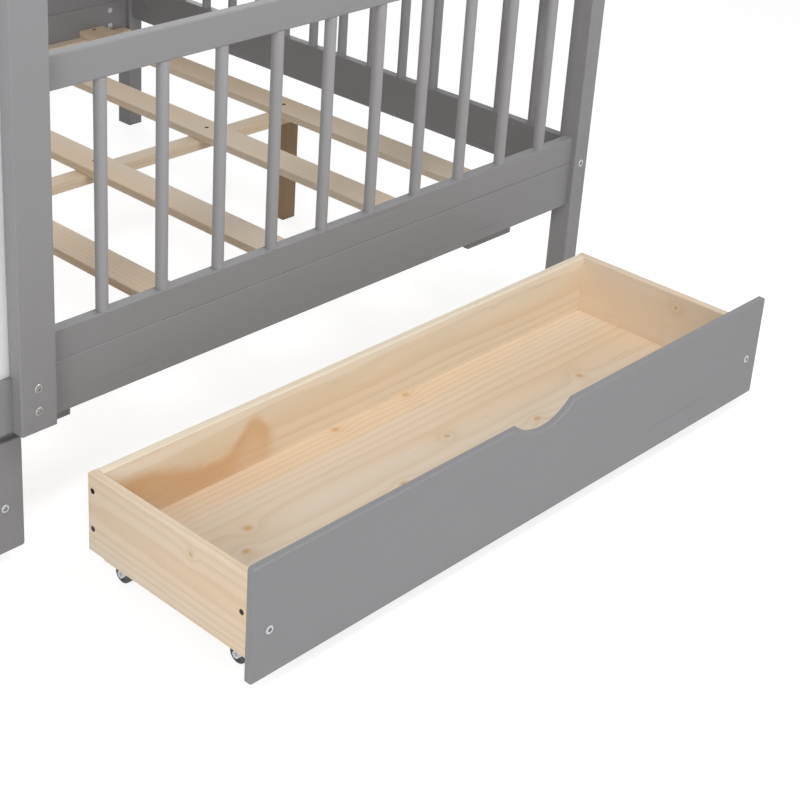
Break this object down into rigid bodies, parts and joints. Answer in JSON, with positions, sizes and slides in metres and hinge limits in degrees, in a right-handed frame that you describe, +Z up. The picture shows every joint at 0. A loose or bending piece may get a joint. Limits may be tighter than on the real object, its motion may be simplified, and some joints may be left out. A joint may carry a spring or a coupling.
{
  "type": "house bed",
  "caption": "Twin house bed with roof frame, spindle fence on three and a half sides, slatted base and two drawers on castors that roll out from under the front rail",
  "frame": {"origin": "On the floor at the centre of the middle leg's foot, which is the centre of the bed's plan", "axes": "+X along the bed to the viewer's right, +Y away from the drawers' side to the back, +Z up"},
  "size_m": [1.9898, 1.3971, 1.6424],
  "materials": {
    "dark_paint": "satin charcoal paint on pine, edges eased",
    "white_paint": "satin white paint",
    "pine": "bare sanded pine with knots and orange heartwood",
    "zinc": "bright zinc-plated steel",
    "screw_steel": "dark phosphate-coated screws",
    "grey_plastic": "dark grey castor wheel, moulded"
  },
  "bodies": {
    "bed_frame": {"corner_post_front_left": "dark_paint", "corner_post_front_right": "dark_paint", "corner_post_back_left": "dark_paint", "corner_post_back_right": "dark_paint", "centre_post_front": "dark_paint", "centre_post_back": "dark_paint", "side_rail_front": "dark_paint", "side_rail_back": "dark_paint", "end_rail_left": "dark_paint", "end_rail_right": "dark_paint", "fence_bottom_rail_front": "dark_paint", "fence_top_rail_front": "dark_paint", "fence_bottom_rail_back": "dark_paint", "fence_top_rail_back": "dark_paint", "fence_top_rails_ends": "dark_paint", "fence_spindles_front": "dark_paint", "fence_spindles_back": "dark_paint", "fence_spindles_ends": "dark_paint", "wall_panel": "white_paint", "slat_ledges": "pine", "slats": "pine", "centre_beam": "pine", "centre_legs": "pine", "drawer_stops": "pine", "roof_beams": "dark_paint", "rafters": "dark_paint", "frame_fasteners": "zinc", "slat_screws": "screw_steel"},
    "right_drawer": {"right_drawer_front": "dark_paint", "right_drawer_inner_side": "pine", "right_drawer_outer_side": "pine", "right_drawer_back": "pine", "right_drawer_bottom": "pine", "right_drawer_battens": "pine", "right_drawer_fasteners": "zinc", "right_drawer_castor_plates": "zinc"},
    "right_drawer_fork_inner_front": {"right_drawer_fork_inner_front": "zinc"},
    "right_drawer_wheel_inner_front": {"right_drawer_wheel_inner_front": "grey_plastic"},
    "right_drawer_fork_inner_rear": {"right_drawer_fork_inner_rear": "zinc"},
    "right_drawer_wheel_inner_rear": {"right_drawer_wheel_inner_rear": "grey_plastic"},
    "right_drawer_fork_outer_front": {"right_drawer_fork_outer_front": "zinc"},
    "right_drawer_wheel_outer_front": {"right_drawer_wheel_outer_front": "grey_plastic"},
    "right_drawer_fork_outer_rear": {"right_drawer_fork_outer_rear": "zinc"},
    "right_drawer_wheel_outer_rear": {"right_drawer_wheel_outer_rear": "grey_plastic"},
    "left_drawer": {"left_drawer_front": "dark_paint", "left_drawer_inner_side": "pine", "left_drawer_outer_side": "pine", "left_drawer_back": "pine", "left_drawer_bottom": "pine", "left_drawer_battens": "pine", "left_drawer_fasteners": "zinc", "left_drawer_castor_plates": "zinc"},
    "left_drawer_fork_inner_front": {"left_drawer_fork_inner_front": "zinc"},
    "left_drawer_wheel_inner_front": {"left_drawer_wheel_inner_front": "grey_plastic"},
    "left_drawer_fork_inner_rear": {"left_drawer_fork_inner_rear": "zinc"},
    "left_drawer_wheel_inner_rear": {"left_drawer_wheel_inner_rear": "grey_plastic"},
    "left_drawer_fork_outer_front": {"left_drawer_fork_outer_front": "zinc"},
    "left_drawer_wheel_outer_front": {"left_drawer_wheel_outer_front": "grey_plastic"},
    "left_drawer_fork_outer_rear": {"left_drawer_fork_outer_rear": "zinc"},
    "left_drawer_wheel_outer_rear": {"left_drawer_wheel_outer_rear": "grey_plastic"}
  },
  "joints": [
    {"name": "right_drawer_slide", "type": "slide", "parent": "bed_frame", "child": "right_drawer", "axis": [0, 1, 0], "range_m": [0, 0.357]},
    {"name": "right_drawer_fork_inner_front_swivel", "type": "hinge", "parent": "right_drawer", "child": "right_drawer_fork_inner_front", "pos_m": [0.04775, -0.8255, 0.03], "axis": [0, 0, 1], "continuous": true},
    {"name": "right_drawer_wheel_inner_front_spin", "type": "hinge", "parent": "right_drawer_fork_inner_front", "child": "right_drawer_wheel_inner_front", "pos_m": [0.04775, -0.8117, 0.012], "axis": [1, 0, 0], "continuous": true},
    {"name": "right_drawer_fork_inner_rear_swivel", "type": "hinge", "parent": "right_drawer", "child": "right_drawer_fork_inner_rear", "pos_m": [0.04775, -0.6336, 0.03], "axis": [0, 0, 1], "continuous": true},
    {"name": "right_drawer_wheel_inner_rear_spin", "type": "hinge", "parent": "right_drawer_fork_inner_rear", "child": "right_drawer_wheel_inner_rear", "pos_m": [0.04775, -0.6198, 0.012], "axis": [1, 0, 0], "continuous": true},
    {"name": "right_drawer_fork_outer_front_swivel", "type": "hinge", "parent": "right_drawer", "child": "right_drawer_fork_outer_front", "pos_m": [0.85875, -0.8255, 0.03], "axis": [0, 0, 1], "continuous": true},
    {"name": "right_drawer_wheel_outer_front_spin", "type": "hinge", "parent": "right_drawer_fork_outer_front", "child": "right_drawer_wheel_outer_front", "pos_m": [0.85875, -0.8117, 0.012], "axis": [1, 0, 0], "continuous": true},
    {"name": "right_drawer_fork_outer_rear_swivel", "type": "hinge", "parent": "right_drawer", "child": "right_drawer_fork_outer_rear", "pos_m": [0.85875, -0.6336, 0.03], "axis": [0, 0, 1], "continuous": true},
    {"name": "right_drawer_wheel_outer_rear_spin", "type": "hinge", "parent": "right_drawer_fork_outer_rear", "child": "right_drawer_wheel_outer_rear", "pos_m": [0.85875, -0.6198, 0.012], "axis": [1, 0, 0], "continuous": true},
    {"name": "left_drawer_slide", "type": "slide", "parent": "bed_frame", "child": "left_drawer", "axis": [0, 1, 0], "range_m": [-0.357, 0]},
    {"name": "left_drawer_fork_inner_front_swivel", "type": "hinge", "parent": "left_drawer", "child": "left_drawer_fork_inner_front", "pos_m": [-0.04775, -0.4685, 0.03], "axis": [0, 0, 1], "continuous": true},
    {"name": "left_drawer_wheel_inner_front_spin", "type": "hinge", "parent": "left_drawer_fork_inner_front", "child": "left_drawer_wheel_inner_front", "pos_m": [-0.04775, -0.4823, 0.012], "axis": [1, 0, 0], "continuous": true},
    {"name": "left_drawer_fork_inner_rear_swivel", "type": "hinge", "parent": "left_drawer", "child": "left_drawer_fork_inner_rear", "pos_m": [-0.04775, -0.2766, 0.03], "axis": [0, 0, 1], "continuous": true},
    {"name": "left_drawer_wheel_inner_rear_spin", "type": "hinge", "parent": "left_drawer_fork_inner_rear", "child": "left_drawer_wheel_inner_rear", "pos_m": [-0.04775, -0.2904, 0.012], "axis": [1, 0, 0], "continuous": true},
    {"name": "left_drawer_fork_outer_front_swivel", "type": "hinge", "parent": "left_drawer", "child": "left_drawer_fork_outer_front", "pos_m": [-0.85875, -0.4685, 0.03], "axis": [0, 0, 1], "continuous": true},
    {"name": "left_drawer_wheel_outer_front_spin", "type": "hinge", "parent": "left_drawer_fork_outer_front", "child": "left_drawer_wheel_outer_front", "pos_m": [-0.85875, -0.4823, 0.012], "axis": [1, 0, 0], "continuous": true},
    {"name": "left_drawer_fork_outer_rear_swivel", "type": "hinge", "parent": "left_drawer", "child": "left_drawer_fork_outer_rear", "pos_m": [-0.85875, -0.2766, 0.03], "axis": [0, 0, 1], "continuous": true},
    {"name": "left_drawer_wheel_outer_rear_spin", "type": "hinge", "parent": "left_drawer_fork_outer_rear", "child": "left_drawer_wheel_outer_rear", "pos_m": [-0.85875, -0.2904, 0.012], "axis": [1, 0, 0], "continuous": true}
  ],
  "couplings": [
    {"joint": "right_drawer_wheel_inner_front_spin", "follows": "right_drawer_slide", "rad_per_m": -83.333},
    {"joint": "right_drawer_wheel_inner_rear_spin", "follows": "right_drawer_slide", "rad_per_m": -83.333},
    {"joint": "right_drawer_wheel_outer_front_spin", "follows": "right_drawer_slide", "rad_per_m": -83.333},
    {"joint": "right_drawer_wheel_outer_rear_spin", "follows": "right_drawer_slide", "rad_per_m": -83.333},
    {"joint": "left_drawer_wheel_inner_front_spin", "follows": "left_drawer_slide", "rad_per_m": -83.333},
    {"joint": "left_drawer_wheel_inner_rear_spin", "follows": "left_drawer_slide", "rad_per_m": -83.333},
    {"joint": "left_drawer_wheel_outer_front_spin", "follows": "left_drawer_slide", "rad_per_m": -83.333},
    {"joint": "left_drawer_wheel_outer_rear_spin", "follows": "left_drawer_slide", "rad_per_m": -83.333}
  ]
}
